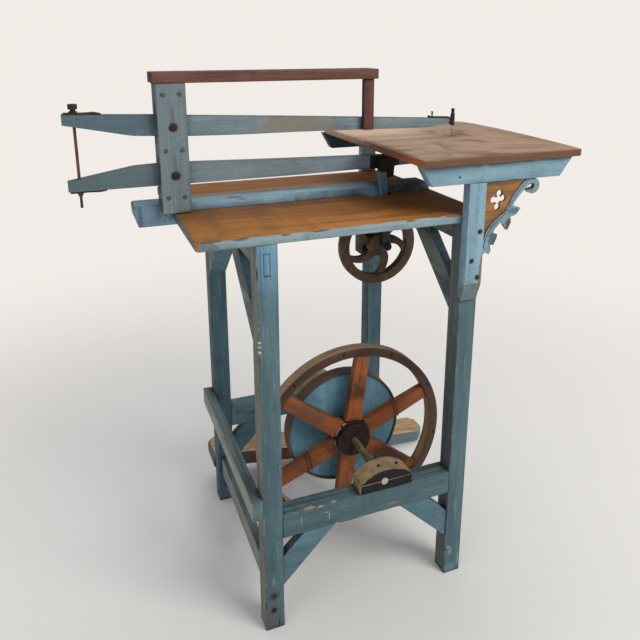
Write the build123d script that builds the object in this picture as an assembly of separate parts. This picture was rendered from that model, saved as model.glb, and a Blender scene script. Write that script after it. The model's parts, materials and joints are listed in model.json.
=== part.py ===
from build123d import *
import os
from math import cos, sin, radians

# Treadle scroll saw with two parallel rocking arms. Millimetres, +Z up.
# Dimensions below run from the front left leg: X to the right along the shelf, Y to the back.
# save() moves every piece so that the origin is on the floor under the middle of the whole saw.

os.makedirs("parts", exist_ok=True)

# whole saw
X_MIN, X_MAX = -320.0, 772.0
Y_MIN, Y_MAX = -41.0, 612.0
CX, CY = (X_MIN + X_MAX) / 2, (Y_MIN + Y_MAX) / 2
MID_Y = 256.0

# stand
LEG, LEG_H = 44.0, 910.0
LEG_X, LEG_Y = 460.0, 468.0
RAIL_Z0, RAIL_Z1 = 236.0, 295.0
END_RAIL_Z0, BOARD_T = 866.0, 22.0
SIDE_RAIL_Z = (300.0, 346.0)
LOW_RAIL_Z = (88.0, 140.0)
SHELF_T, SHELF_X = 20.0, (-113.0, 515.0)
BEAM_X, BEAM_Y, BEAM_Z = (-196.0, 515.0), (243.0, 312.0), (901.0, 946.0)

# column, top bar and guide
COL_X, COL_TOP = (-138.0, -78.0), 1202.0
CHEEK_T, ARM_Y = 22.0, (243.5, 263.5)
ARM_MID = 253.5
GAP_Y = (243.0, 264.0)
BAR_X, BAR_T = (-145.0, 359.0), 22.0
GUIDE_X, GUIDE_Z0 = (327.0, 352.0), 1086.0

# table
TABLE_TOP, TABLE_T = 1057.5, 14.5
BATTEN_Z0, BATTEN_T = 1000.0, 23.0
POST_X, POST_Z0 = (454.5, 496.0), 735.0

# arm pivots, tension rod and blade
PIVOT_X, UP_Z, LOW_Z = -107.5, 1113.0, 1012.0
PIVOT_R, FIT = 4.0, 0.05
ROD_X, ROD_R = -297.0, 3.0
BLADE_X, BLADE_W, BLADE_T = 579.0, 1.8, 0.5

# upper wheel, crank and pitman
WHEEL_X, WHEEL_Z, WHEEL_R, WHEEL_RI = 380.0, 798.0, 100.0, 78.0
CRANK = 14.0
PIT_TOP = (376.0, 1008.0)
PIT_W, PIT_Y = 17.0, (224.0, 240.0)
PIN_R, SPINDLE_R = 6.0, 9.0
HANGER_Y = (285.0, 330.0)

# flywheel and treadle
FLY_X, FLY_Z, SHAFT_R = 286.0, 319.0, 8.5
RIM_R, RIM_RI, RIM_Y = 244.0, 222.7, (175.0, 208.0)
SPOKE_Y, SPOKE_TURN = (182.0, 202.0), 82.6
DISC_R, DISC_BAND, DISC_Y = 153.0, 5.0, (230.0, 266.0)
THROW, ROD_Y, ROD_END_Z = 35.0, (429.0, 443.0), 65.0
TREADLE_Y, TREADLE_PIN = (515.0, 603.0), (21.5, 104.0)
TREADLE_BOLT_R = 6.0


def block(x0, x1, y0, y1, z0, z1):
    return Pos((x0 + x1) / 2, (y0 + y1) / 2, (z0 + z1) / 2) * Box(x1 - x0, y1 - y0, z1 - z0)


def rod_y(x, z, r, y0, y1):
    return Pos(x, (y0 + y1) / 2, z) * Rot(90, 0, 0) * Cylinder(r, y1 - y0)


def rod_z(x, y, r, z0, z1):
    return Pos(x, y, (z0 + z1) / 2) * Cylinder(r, z1 - z0)


def prism_y(edges, y0, y1):
    """A face of edges in the plane y = y0, pulled to y1."""
    return extrude(make_face(edges), amount=y1 - y0, dir=(0, 1, 0))


def board_xz(points, y0, y1):
    loop = [(x, y0, z) for x, z in points]
    return prism_y(Polyline(*loop, close=True), y0, y1)


def board_yz(points, x0, x1):
    loop = [(x0, y, z) for y, z in points]
    return extrude(make_face(Polyline(*loop, close=True)), amount=x1 - x0, dir=(1, 0, 0))


def behind(shape):
    """The same piece at the back of the stand."""
    return mirror(shape, about=Plane.XZ.offset(-MID_Y))


def save(name, *solids):
    placed = [Pos(-CX, -CY, 0) * s.solids()[0] for s in solids]
    export_step(placed[0] if len(placed) == 1 else Compound(children=placed), f"parts/{name}.step")


# ---------------------------------------------------------------- stand
POST_BOLTS = ((485.6, 894.0), (469.0, 830.0), (485.9, 791.0))


def leg(x, y):
    return chamfer(block(x, x + LEG, y, y + LEG, 0, LEG_H).edges().filter_by(Axis.Z), 1.5)


def make_legs():
    front_right, back_right = leg(LEG_X, 0), leg(LEG_X, LEG_Y)
    for x, z in POST_BOLTS:
        front_right -= rod_y(x, z, 3.0, -1, 12)
        back_right -= rod_y(x, z, 3.0, 500, 513)
    back_left = leg(0, LEG_Y) - rod_y(*TREADLE_PIN, TREADLE_BOLT_R, 470, 520)
    save("leg_front_left", leg(0, 0))
    save("leg_front_right", front_right)
    save("leg_back_left", back_left)
    save("leg_back_right", back_right)


def make_rails():
    save("rail_front", block(LEG, LEG_X, 0, LEG, RAIL_Z0, RAIL_Z1))
    save("rail_back", block(LEG, LEG_X, LEG_Y, LEG_Y + LEG, RAIL_Z0, RAIL_Z1))
    save("side_rail", block(-24, 0, -4, LEG_Y + LEG, *SIDE_RAIL_Z))
    save("side_rail_low", block(10, 10 + BOARD_T, LEG, LEG_Y, *LOW_RAIL_Z))
    ends = [block(x, x + BOARD_T, LEG, LEG_Y, END_RAIL_Z0, LEG_H) for x in (0, LEG_X)]
    save("end_rails", *[end - block(-1, 600, *BEAM_Y, *BEAM_Z) for end in ends])


def make_braces():
    left = [(44, 108), (44, 184), (96, RAIL_Z0), (170, RAIL_Z0)]
    right = [(460, 110), (460, 182), (406, RAIL_Z0), (329, RAIL_Z0)]
    pair = [board_xz(p, 4, 4 + BOARD_T) for p in (left, right)]
    save("braces_front", *pair)
    save("braces_back", *[behind(b) for b in pair])
    upper = [(44, 698), (44, 770), (148, END_RAIL_Z0), (230, END_RAIL_Z0)]
    for name, x, t in (("top_braces_left", 0, LEG), ("top_braces_right", LEG_X, BOARD_T)):
        brace = board_yz(upper, x, x + t)
        save(name, brace, behind(brace))


def make_shelves():
    front = block(*SHELF_X, 0, BEAM_Y[0], LEG_H, LEG_H + SHELF_T)
    front -= block(340, 400, 220, BEAM_Y[0] + 1, LEG_H - 1, LEG_H + SHELF_T + 1)
    back = block(*SHELF_X, BEAM_Y[1], LEG_Y + LEG, LEG_H, LEG_H + SHELF_T)
    save("shelf_front", front)
    save("shelf_back", back)
    x0, x1 = BEAM_X
    z0, z1 = BEAM_Z
    side = [(x0 + 3, z1), (x1, z1), (x1, z0), (x0 + 8, z0), (x0 + 1, z0 + 20), (x0, z1 - 4)]
    save("bed_beam", board_xz(side, *BEAM_Y))


# ---------------------------------------------------------------- column, top bar, guide
def make_column():
    front = block(*COL_X, GAP_Y[0] - CHEEK_T, GAP_Y[0], 931.5, COL_TOP)
    back = block(*COL_X, GAP_Y[1], GAP_Y[1] + CHEEK_T, BEAM_Z[1], COL_TOP)
    for z in (UP_Z, LOW_Z):
        hole = rod_y(PIVOT_X, z, PIVOT_R, 200, 300)
        front, back = front - hole, back - hole
    screws = []
    for x in (COL_X[0] + 13, COL_X[1] - 13):
        for z in (965.5, 1065.0, 1179.5):
            front -= rod_y(x, z, 2.0, 210, 236)
            screws.append(rod_y(x, z, 4.0, 220.2, 221) + rod_y(x, z, 2.0, 221, 236))
    save("column_front", front)
    save("column_back", back)
    save("column_screws", *screws)
    levels = ((BEAM_Z[1], 972), (1050, 1078), (1170, COL_TOP))
    save("column_spacers", *[block(*COL_X, *GAP_Y, *z) for z in levels])


def make_pivot_bolts():
    bolts = []
    for z in (UP_Z, LOW_Z):
        hexagon = Pos(PIVOT_X, 219, z) * Rot(90, 0, 0) * extrude(RegularPolygon(4.6, 6), 4.0)
        nut = Pos(PIVOT_X, 293, z) * Rot(90, 0, 0) * extrude(RegularPolygon(7.0, 6), 5.0)
        bolts.append(hexagon + rod_y(PIVOT_X, z, 7.8, 219, 221) + rod_y(PIVOT_X, z, PIVOT_R, 221, 290)
                     + rod_y(PIVOT_X, z, 9.5, 286, 288) + nut)
    save("pivot_bolts", *bolts)


def make_top_bar():
    y0, y1 = GAP_Y[0] - CHEEK_T, GAP_Y[1] + CHEEK_T
    save("top_bar", block(*BAR_X, y0, y1, COL_TOP, COL_TOP + BAR_T))
    save("guide_post", block(*GUIDE_X, 228.5, GAP_Y[0], GUIDE_Z0, COL_TOP))


# ---------------------------------------------------------------- table
def make_table():
    z = TABLE_TOP - TABLE_T
    front = Polyline((341, 515, z), (335, -41, z), (723, -33, z))
    corner = ThreePointArc((723, -33, z), (731, -29, z), (735, -20, z))
    right = Spline((735, -20, z), (753, 110, z), (767, 263, z), (772, 390, z), (766, 480, z))
    back_corner = ThreePointArc((766, 480, z), (757, 503, z), (738, 515, z))
    back = Line((738, 515, z), (341, 515, z))
    top = extrude(make_face([front, corner, right, back_corner, back]), amount=TABLE_T, dir=(0, 0, 1))
    save("table_top", top - rod_z(BLADE_X, ARM_MID, 5.0, z - 1, TABLE_TOP + 1))


def make_supports():
    z0, z1 = BATTEN_Z0, TABLE_TOP - TABLE_T
    batten = board_xz([(338, z1), (716, z1), (684, z0), (363, z0)], -BATTEN_T, 0)
    side = [(-BATTEN_T, BATTEN_Z0), (0, BATTEN_Z0), (0, POST_Z0), (-9, POST_Z0), (-BATTEN_T, POST_Z0 + 40)]
    post = board_yz(side, *POST_X)
    bolts = []
    for x, z in POST_BOLTS:
        post -= rod_y(x, z, 3.0, -30, 1)
        bolts.append(rod_y(x, z, 4.6, -24.6, -BATTEN_T) + rod_y(x, z, 3.0, -BATTEN_T, 12))
    save("batten_front", batten)
    save("batten_back", behind(batten))
    save("table_post_front", post)
    save("table_post_back", behind(post))
    save("post_bolts", *bolts, *[behind(b) for b in bolts])


def bracket_curves(y):
    """The two hollow curves where the panel meets its edging."""
    upper = Spline((604, y, 999), (578, y, 976), (562, y, 952), (552, y, 930))
    lower = Spline((552, y, 930), (528, y, 915), (508, y, 893), (499, y, 868), (POST_X[1], y, 842))
    return upper, lower


def make_bracket():
    y0, y1 = -15.0, -9.0
    upper, lower = bracket_curves(y0)
    x = POST_X[1]
    rest = Polyline((x, y0, 842), (x, y0, 999), (604, y0, 999))
    panel = prism_y([upper, lower, rest], y0, y1)
    for dx, dz, r in ((0, 0, 8.4), (2, 14.5, 7.6), (-2, -14.5, 7.2), (-12, 1, 7.6), (11.5, 3, 7.2)):
        panel -= rod_y(533 + dx, 957 + dz, r, y0 - 1, y1 + 1)
    y0, y1 = -17.0, -7.0
    upper, lower = bracket_curves(y0)
    leaves = [(x, 836), (506, 843), (516, 838), (521, 846), (517, 859), (527, 858), (534, 874), (535, 881),
              (523, 884), (527, 893), (540, 906), (549, 902), (560, 888), (568, 905), (566, 917), (580, 921),
              (591, 935), (571, 941), (573, 948), (582, 960), (598, 976), (618, 999), (604, 999)]
    loop = Polyline((x, y0, 842), *[(a, y0, b) for a, b in leaves])
    edging = prism_y([upper, lower, loop], y0, y1)
    edging += rod_y(619, 982, 17, y0, y1)
    for cx, cz, r in ((603, 977.5, 3.2), (607.5, 979.5, 4.2), (613, 981.5, 5.0), (617, 982.5, 5.2)):
        edging -= rod_y(cx, cz, r, y0 - 1, y1 + 1)
    save("bracket_panel", panel)
    save("bracket_edging", edging)


# ---------------------------------------------------------------- rocking arms
def make_upper_arm():
    side = [(-320, 1124), (-187, 1097), (-142, 1094.5), (-72, 1091), (38, 1088.5), (177, 1088), (332, 1085),
            (500, 1083), (564, 1091), (564, 1102), (428, 1109), (324, 1114.5), (177, 1122), (-74, 1134),
            (-143, 1138), (-320, 1145)]
    arm = board_xz(side, *ARM_Y)
    arm -= rod_y(PIVOT_X, UP_Z, PIVOT_R + FIT, 200, 300) + rod_z(ROD_X, ARM_MID, 5.0, 1080, 1160)
    save("upper_arm", arm)
    cap = [(-316, 1144.9), (-245, 1142.1), (-245, 1144.5), (-258, 1147.5), (-278, 1146.6), (-316, 1147.6)]
    plate = board_xz(cap, 245.5, 261.5) + rod_z(ROD_X, ARM_MID, 8.5, 1145, 1150)
    save("upper_plate", plate - rod_z(ROD_X, ARM_MID, 5.0, 1080, 1160))
    strap = [(512, 1104.9), (564, 1102.2), (564.1, 1090), (567, 1088), (575, 1092), (575, 1104), (566, 1105.5),
             (516, 1107.5), (512, 1110)]
    screw = rod_z(520.6, ARM_MID, 1.8, 1106, 1117) + rod_z(520.6, ARM_MID, 2.8, 1117, 1119.5)
    save("upper_clamp_plate", board_xz(strap, 246.5, 260.5) + screw)
    body = rod_z(BLADE_X, ARM_MID, 4.0, 1084, 1118) + rod_z(BLADE_X, ARM_MID, 5.2, 1092, 1112)
    body += rod_z(BLADE_X, ARM_MID, 5.6, 1084, 1089) + Pos(BLADE_X, ARM_MID, 1121.2) * Sphere(4.4)
    body -= block(570, 575, 240, 270, 1080, 1112)
    body -= block(BLADE_X - 1.8, BLADE_X + 1.8, ARM_MID - 0.8, ARM_MID + 0.8, 1080, 1099)
    save("upper_clamp", body)


def make_lower_arm():
    side = [(-320, 989), (-139, 989), (-70, 989.5), (176, 990), (368, 993), (572, 1000), (572, 1016), (357, 1023),
            (176, 1027), (36, 1031), (-72, 1034.5), (-139, 1035), (-188, 1033), (-320, 1010)]
    arm = board_xz(side, *ARM_Y)
    arm -= rod_y(PIVOT_X, LOW_Z, PIVOT_R + FIT, 200, 300) + rod_z(ROD_X, ARM_MID, 5.0, 970, 1060)
    save("lower_arm", arm)
    foot = [(-316, 989), (-245, 989), (-245, 986.8), (-258, 984.6), (-280, 985.6), (-316, 985)]
    save("lower_plate", board_xz(foot, 245.5, 261.5) - rod_z(ROD_X, ARM_MID, 5.0, 970, 1060))
    strap = [(352, 1022), (428, 1020), (428, 998), (416, 994), (414, 970), (398, 966), (386, 974), (384, 990),
             (352, 992)]
    save("arm_strap", board_xz(strap, 241.0, ARM_Y[0]))
    clamp = block(572, 586, 246.5, 260.5, 997, 1019)
    clamp -= block(BLADE_X - 4, BLADE_X + 4, ARM_MID - 1.2, ARM_MID + 1.2, 999, 1020)
    save("lower_clamp", clamp)


def make_tension_rod():
    nut = Pos(ROD_X, ARM_MID, 980.7) * Cone(3.4, 6.6, 7.0)
    save("tension_rod", rod_z(ROD_X, ARM_MID, ROD_R, 953, 1165) + nut)
    knob = chamfer(Cylinder(9.2, 10.2).edges(), 1.2)
    for k in range(24):
        knob -= Rot(0, 0, 15 * k) * Pos(9.4, 0, 0) * Box(0.9, 0.9, 12)
    knob = Pos(ROD_X, ARM_MID, 1159.4) * knob + rod_z(ROD_X, ARM_MID, 5.4, 1150.4, 1155)
    save("thumb_nut", knob - rod_z(ROD_X, ARM_MID, ROD_R + FIT, 1150, 1170))
    half = BLADE_W / 2
    save("blade", block(BLADE_X - half, BLADE_X + half, ARM_MID - BLADE_T / 2, ARM_MID + BLADE_T / 2, 1002, 1096))


# ---------------------------------------------------------------- upper wheel and pitman
def wheel_spoke(turn):
    """One S-curved spoke of the cast wheel, from hub to rim."""
    def at(r, a):
        return (WHEEL_X + r * cos(radians(turn + a)), 250.0, WHEEL_Z + r * sin(radians(turn + a)))
    near = Spline(at(18, 22), at(38, 24), at(60, 4), at(WHEEL_RI + 2, -14))
    far = Spline(at(WHEEL_RI + 2, -30), at(60, -16), at(38, -8), at(18, -22))
    return prism_y([near, Line(near @ 1, far @ 0), far, Line(far @ 1, near @ 0)], 250.0, 261.0)


def make_wheel():
    rim = rod_y(WHEEL_X, WHEEL_Z, WHEEL_R, 246, 266) - rod_y(WHEEL_X, WHEEL_Z, WHEEL_RI, 240, 270)
    wheel = rim + rod_y(WHEEL_X, WHEEL_Z, 22, 252, 276) + rod_y(WHEEL_X, WHEEL_Z, 27, 243.5, 254)
    for k in range(5):
        wheel += wheel_spoke(72 * k + 6)
    wheel -= rod_y(WHEEL_X, WHEEL_Z, SPINDLE_R, 250, 280) + rod_y(WHEEL_X + CRANK, WHEEL_Z, PIN_R, 240, 249)
    save("drive_wheel", wheel)
    save("wheel_spindle", rod_y(WHEEL_X, WHEEL_Z, SPINDLE_R, 250, 331) + rod_y(WHEEL_X, WHEEL_Z, 14, 331, 338))
    pin = rod_y(WHEEL_X + CRANK, WHEEL_Z, PIN_R, 223, 249) + rod_y(WHEEL_X + CRANK, WHEEL_Z, 9, 219, 223)
    save("crank_pin", pin)


def make_hanger():
    y0, y1 = HANGER_Y
    face = [(354, LEG_H), (406, LEG_H), (406, 790), (398, 760), (390, 756), (362, 756), (355, 762)]
    hanger = board_xz(face, y0, y1) - rod_y(WHEEL_X, WHEEL_Z, SPINDLE_R + FIT, y0 - 1, y1 + 1)
    save("wheel_hanger", hanger - block(300, 450, *BEAM_Y, *BEAM_Z))


def make_pitman():
    x0, z0, (x1, z1) = WHEEL_X + CRANK, WHEEL_Z, PIT_TOP
    w = PIT_W / 2
    bar = board_xz([(x0 - w, z0), (x0 + w, z0), (x1 + w, z1), (x1 - w, z1)], *PIT_Y)
    bar += rod_y(x0, z0, 11.5, *PIT_Y) + rod_y(x1, z1, 10.5, *PIT_Y)
    bar -= rod_y(x0, z0, PIN_R + FIT, 220, 245) + rod_y(x1, z1, 5.0, 220, 245)
    save("pitman", bar)
    save("pitman_bolt", rod_y(x1, z1, 5.0, PIT_Y[0], 240.5) + rod_y(x1, z1, 8.5, 219.5, PIT_Y[0]))


# ---------------------------------------------------------------- flywheel
def make_bearings():
    x0, x1 = 227.0, 358.0
    bore = rod_y(FLY_X, FLY_Z, SHAFT_R + FIT, -10, 60)
    base = block(x0, x1, -3, 45, RAIL_Z1, FLY_Z) - bore
    arch = ThreePointArc((x1 - 2, -3, FLY_Z + 2), (292, -3, FLY_Z + 28), (x0 + 2, -3, FLY_Z + 2))
    sill = Polyline((x0 + 2, -3, FLY_Z + 2), (x0 + 2, -3, FLY_Z), (x1 - 2, -3, FLY_Z), (x1 - 2, -3, FLY_Z + 2))
    cap = prism_y([arch, sill], -3, 45) - bore
    save("bearing_bases", base, behind(base))
    save("bearing_caps", cap, behind(cap))


def crank_web(y0, y1):
    mid = FLY_Z - THROW / 2
    plate = block(FLY_X - 13, FLY_X + 13, y0, y1, mid - THROW / 2, mid + THROW / 2)
    return plate + rod_y(FLY_X, FLY_Z, 13, y0, y1) + rod_y(FLY_X, FLY_Z - THROW, 13, y0, y1)


def make_crankshaft():
    shaft = rod_y(FLY_X, FLY_Z, SHAFT_R, -4.5, 420) + rod_y(FLY_X, FLY_Z, SHAFT_R, 452, 517)
    shaft += crank_web(418, 426) + crank_web(446, 454) + rod_y(FLY_X, FLY_Z - THROW, 9, 424, 448)
    save("crankshaft", shaft)


def spoke(turn):
    y0, y1 = SPOKE_Y
    bar = board_xz([(44.2, -25), (60, -21), (230, -17), (230, 17), (60, 21), (44.2, 25)], y0, y1)
    bar &= rod_y(0, 0, RIM_RI, y0, y1)
    return Pos(FLY_X, 0, FLY_Z) * Rot(0, -turn, 0) * bar


def make_flywheel():
    rim = rod_y(FLY_X, FLY_Z, RIM_R, *RIM_Y) - rod_y(FLY_X, FLY_Z, RIM_RI, 170, 215)
    save("fly_rim", chamfer(rim.edges().filter_by(GeomType.CIRCLE), 1.5))
    save("fly_spokes", *[spoke(SPOKE_TURN + 60 * k) for k in range(6)])
    hub = rod_y(FLY_X, FLY_Z, 43, 165, 178) + rod_y(FLY_X, FLY_Z, 47.5, 178, SPOKE_Y[0])
    hub += rod_y(FLY_X, FLY_Z, 44, *SPOKE_Y) + rod_y(FLY_X, FLY_Z, 52, SPOKE_Y[1], 208)
    hub += rod_y(FLY_X, FLY_Z, 26, 208, 234)
    save("fly_hub", hub - rod_y(FLY_X, FLY_Z, SHAFT_R, 160, 240))
    inner = DISC_R - DISC_BAND
    save("belt_disc", rod_y(FLY_X, FLY_Z, inner, 234, 258) - rod_y(FLY_X, FLY_Z, SHAFT_R, 230, 260))
    save("belt_rim", rod_y(FLY_X, FLY_Z, DISC_R, *DISC_Y) - rod_y(FLY_X, FLY_Z, inner, 220, 270))


def make_connecting_rod():
    top, (y0, y1) = FLY_Z - THROW, ROD_Y
    rod = block(FLY_X - 9, FLY_X + 9, y0, y1, ROD_END_Z, top)
    rod += rod_y(FLY_X, top, 17, y0, y1) + rod_y(FLY_X, ROD_END_Z, 13, y0, y1)
    rod += rod_y(FLY_X, ROD_END_Z, 6, y1, y1 + 2.5) + rod_y(FLY_X, ROD_END_Z, 8, y0 - 3, y0)
    save("connecting_rod", rod - rod_y(FLY_X, top, 9 + FIT, y0 - 1, y1 + 1))


def make_treadle():
    y0, y1 = TREADLE_Y
    under = ThreePointArc((-3, y0, 82), (227, y0, 50), (698, y0, 6))
    over = ThreePointArc((698, y0, 38), (227, y0, 90), (15, y0, 123.2))
    toe = ThreePointArc((15, y0, 123.2), (3, y0, 117), (-3, y0, 104))
    plank = prism_y([under, Line(under @ 1, over @ 0), over, toe, Line(toe @ 1, under @ 0)], y0, y1)
    for cut in ([(672, y0), (698, y0 + 26), (712, y0 + 26), (712, y0 - 5), (672, y0 - 5)],
                [(680, y1), (698, y1 - 18), (712, y1 - 18), (712, y1 + 5), (680, y1 + 5)]):
        loop = Polyline(*[(x, y, 0) for x, y in cut], close=True)
        plank -= extrude(make_face(loop), amount=60, dir=(0, 0, 1))
    save("treadle", plank - rod_y(*TREADLE_PIN, TREADLE_BOLT_R + FIT, y0 - 1, y1 + 1))
    lug = block(276, 296, 446, y0 - 4, 56, 74) + block(260, 312, y0 - 4, y0, 50, 80)
    save("treadle_lug", lug)
    x, z = TREADLE_PIN
    bolt = rod_y(x, z, TREADLE_BOLT_R, 470, Y_MAX) + rod_y(x, z, 13, 512, y0 - 0.5)
    save("treadle_bolt", bolt + rod_y(x, z, 12, y1 + 1, y1 + 6))


make_legs()
make_rails()
make_braces()
make_shelves()
make_column()
make_pivot_bolts()
make_top_bar()
make_table()
make_supports()
make_bracket()
make_upper_arm()
make_lower_arm()
make_tension_rod()
make_wheel()
make_hanger()
make_pitman()
make_bearings()
make_crankshaft()
make_flywheel()
make_connecting_rod()
make_treadle()
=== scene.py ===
import bpy, bmesh, json, math
from mathutils import Matrix, Vector, noise


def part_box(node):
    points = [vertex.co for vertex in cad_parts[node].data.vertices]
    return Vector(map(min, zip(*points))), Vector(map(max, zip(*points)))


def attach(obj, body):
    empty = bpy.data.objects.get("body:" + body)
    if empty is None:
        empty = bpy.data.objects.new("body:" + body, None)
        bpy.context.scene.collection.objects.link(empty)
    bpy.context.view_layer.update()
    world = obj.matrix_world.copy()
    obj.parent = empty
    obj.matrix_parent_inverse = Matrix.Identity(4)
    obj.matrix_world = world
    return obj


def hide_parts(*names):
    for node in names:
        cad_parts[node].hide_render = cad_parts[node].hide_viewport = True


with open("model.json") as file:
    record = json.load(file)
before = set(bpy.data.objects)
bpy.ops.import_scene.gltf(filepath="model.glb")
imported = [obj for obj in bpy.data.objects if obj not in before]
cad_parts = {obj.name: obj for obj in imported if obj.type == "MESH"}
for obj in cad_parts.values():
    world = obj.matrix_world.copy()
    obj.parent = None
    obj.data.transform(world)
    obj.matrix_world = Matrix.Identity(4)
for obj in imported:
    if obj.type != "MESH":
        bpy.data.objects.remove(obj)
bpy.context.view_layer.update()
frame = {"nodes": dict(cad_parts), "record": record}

nodes = frame["nodes"]
body_of = {n: b for b, ns in frame["record"]["behaviour"]["bodies"].items() for n in ns}
slot_of = {s["node"]: s["material_slot"] for s in frame["record"]["subparts"]}
scene = bpy.context.scene

MM = 1000.0
SMOOTH_BELOW = math.radians(35)  # shading is smooth over creases shallower than this
ROUND_ABOVE = math.radians(25)   # edges sharper than this are rounded
FLAT_BELOW = math.radians(0.6)   # faces that meet at less than this are made one
MERGE = 1e-6                     # points closer than this, in metres, are one point


# ---------------------------------------------------------------- node helpers
class Net:
    """A material's node tree, with one short call per node."""

    def __init__(self, name):
        self.mat = bpy.data.materials.new(name)
        self.mat.use_nodes = True
        self.tree = self.mat.node_tree
        self.tree.nodes.clear()
        self.out = self.add("ShaderNodeOutputMaterial")
        self.bsdf = self.add("ShaderNodeBsdfPrincipled")
        self.link(self.bsdf.outputs[0], self.out.inputs[0])
        coord = self.add("ShaderNodeTexCoord")
        self.pos, self.normal = coord.outputs["Object"], coord.outputs["Normal"]

    def add(self, kind, **props):
        n = self.tree.nodes.new(kind)
        for k, v in props.items():
            setattr(n, k, v)
        return n

    def link(self, a, b):
        self.tree.links.new(a, b)

    def put(self, socket, value):
        if hasattr(value, "is_linked"):
            self.link(value, socket)
        else:
            socket.default_value = value

    def math(self, op, a, b=0.0):
        n = self.add("ShaderNodeMath", operation=op)
        self.put(n.inputs[0], a)
        self.put(n.inputs[1], b)
        return n.outputs[0]

    def scaled(self, value, k):
        return self.math("MULTIPLY", value, k)

    def stretch(self, scale, offset, place=None):
        """The place stretched and shifted, to draw a noise out along the grain."""
        n = self.add("ShaderNodeMapping")
        self.link(place or self.pos, n.inputs["Vector"])
        n.inputs["Scale"].default_value = scale
        n.inputs["Location"].default_value = offset
        return n.outputs[0]

    def noise(self, vec, scale, detail=4.0, rough=0.55, warp=0.0):
        n = self.add("ShaderNodeTexNoise")
        self.link(vec, n.inputs["Vector"])
        for k, v in (("Scale", scale), ("Detail", detail), ("Roughness", rough), ("Distortion", warp)):
            n.inputs[k].default_value = v
        return n.outputs[0]

    def cells(self, vec, scale):
        """Distance from the nearest of many scattered points."""
        n = self.add("ShaderNodeTexVoronoi", feature="F1")
        self.link(vec, n.inputs["Vector"])
        n.inputs["Scale"].default_value = scale
        n.inputs["Randomness"].default_value = 1.0
        return n.outputs["Distance"]

    def step(self, value, lo, hi):
        """0 below lo, 1 above hi, smooth between. With lo the larger it falls from 1 to 0 instead."""
        n = self.add("ShaderNodeMapRange", interpolation_type="SMOOTHSTEP")
        self.put(n.inputs["Value"], value)
        n.inputs["From Min"].default_value, n.inputs["From Max"].default_value = min(lo, hi), max(lo, hi)
        if lo > hi:
            n.inputs["To Min"].default_value, n.inputs["To Max"].default_value = 1.0, 0.0
        return n.outputs[0]

    def mix(self, fac, a, b):
        n = self.add("ShaderNodeMix", data_type="RGBA")
        self.put(n.inputs[0], fac)
        self.put(n.inputs[6], a if hasattr(a, "is_linked") else rgb(a))
        self.put(n.inputs[7], b if hasattr(b, "is_linked") else rgb(b))
        return n.outputs[2]

    def lay(self, colour, tint, mask, strength):
        """The colour with a tint laid over it where the mask is 1."""
        return self.mix(self.scaled(mask, strength), colour, tint)

    def edges(self, radius):
        """Rises towards 1 on sharp outer edges."""
        bev = self.add("ShaderNodeBevel", samples=4)
        bev.inputs["Radius"].default_value = radius
        geo = self.add("ShaderNodeNewGeometry")
        dot = self.add("ShaderNodeVectorMath", operation="DOT_PRODUCT")
        self.link(bev.outputs[0], dot.inputs[0])
        self.link(geo.outputs["True Normal"], dot.inputs[1])
        return self.math("SUBTRACT", 1.0, dot.outputs["Value"])

    def corner_shade(self, reach=0.02):
        """Rises to 1 in corners and along joints: painted shade where little light reaches, together with the dirt
        that gathers there.
        """
        n = self.add("ShaderNodeAmbientOcclusion", samples=6)
        n.inputs["Distance"].default_value = reach
        return self.step(n.outputs["AO"], 0.86, 0.4)

    def split(self, vector, axis):
        n = self.add("ShaderNodeSeparateXYZ")
        self.link(vector, n.inputs[0])
        return n.outputs["XYZ".index(axis)]

    def facing(self, axis, lo, hi):
        """1 where the surface looks along the axis, or against it for a negative lo and hi."""
        return self.step(self.split(self.normal, axis), lo, hi)

    def band(self, axis, lo, hi):
        return self.step(self.split(self.pos, axis), lo, hi)

    def vector(self, op, a, b):
        n = self.add("ShaderNodeVectorMath", operation=op)
        self.link(a, n.inputs[0])
        n.inputs[1].default_value = b
        return n.outputs["Value" if op == "LENGTH" else "Vector"]

    def distance(self, place):
        return self.vector("LENGTH", place, (0, 0, 0))

    def polar(self, hub):
        """(out from the hub, along the hub, round it) instead of X, Y and Z."""
        round_length = 0.2  # metres of texture per radian
        p = self.vector("SUBTRACT", self.pos, hub)
        x, y, z = (self.split(p, a) for a in "XYZ")
        radius = self.math("SQRT", self.math("ADD", self.math("MULTIPLY", x, x), self.math("MULTIPLY", z, z)))
        n = self.add("ShaderNodeCombineXYZ")
        for i, v in enumerate((radius, y, self.scaled(self.math("ARCTAN2", z, x), round_length))):
            self.link(v, n.inputs[i])
        return n.outputs[0]

    def spots(self, colour, spots):
        """Lays each (centre, radii, colour, strength) over the colour with a ragged rim."""
        if spots:
            ragged = self.noise(self.pos, 130.0, 4.0, 0.7)
            ragged = self.scaled(self.math("SUBTRACT", ragged, 0.5), 1.1)
        for centre, radii, tint, strength in spots:
            p = self.vector("DIVIDE", self.vector("SUBTRACT", self.pos, centre), radii)
            far = self.math("ADD", self.distance(p), ragged)
            colour = self.lay(colour, tint, self.step(far, 1.05, 0.6), strength)
        return colour

    def mottle(self, colour, mask, dark, dark_part, light, light_part):
        """Breaks a colour up with a dark and a light tint. Each part is (lo, hi, strength) in the mask."""
        colour = self.lay(colour, dark, self.step(mask, *dark_part[:2]), dark_part[2])
        return self.lay(colour, light, self.step(mask, *light_part[:2]), light_part[2])

    def bump(self, height, strength, distance):
        n = self.add("ShaderNodeBump")
        n.inputs["Strength"].default_value = strength
        n.inputs["Distance"].default_value = distance
        self.link(height, n.inputs["Height"])
        self.link(n.outputs[0], self.bsdf.inputs["Normal"])

    def finish(self, colour, rough, metallic=0.0, specular=0.5):
        self.put(self.bsdf.inputs["Base Color"], colour)
        self.put(self.bsdf.inputs["Roughness"], rough)
        self.bsdf.inputs["Metallic"].default_value = metallic
        self.bsdf.inputs["Specular IOR Level"].default_value = specular
        return self.mat


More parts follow.
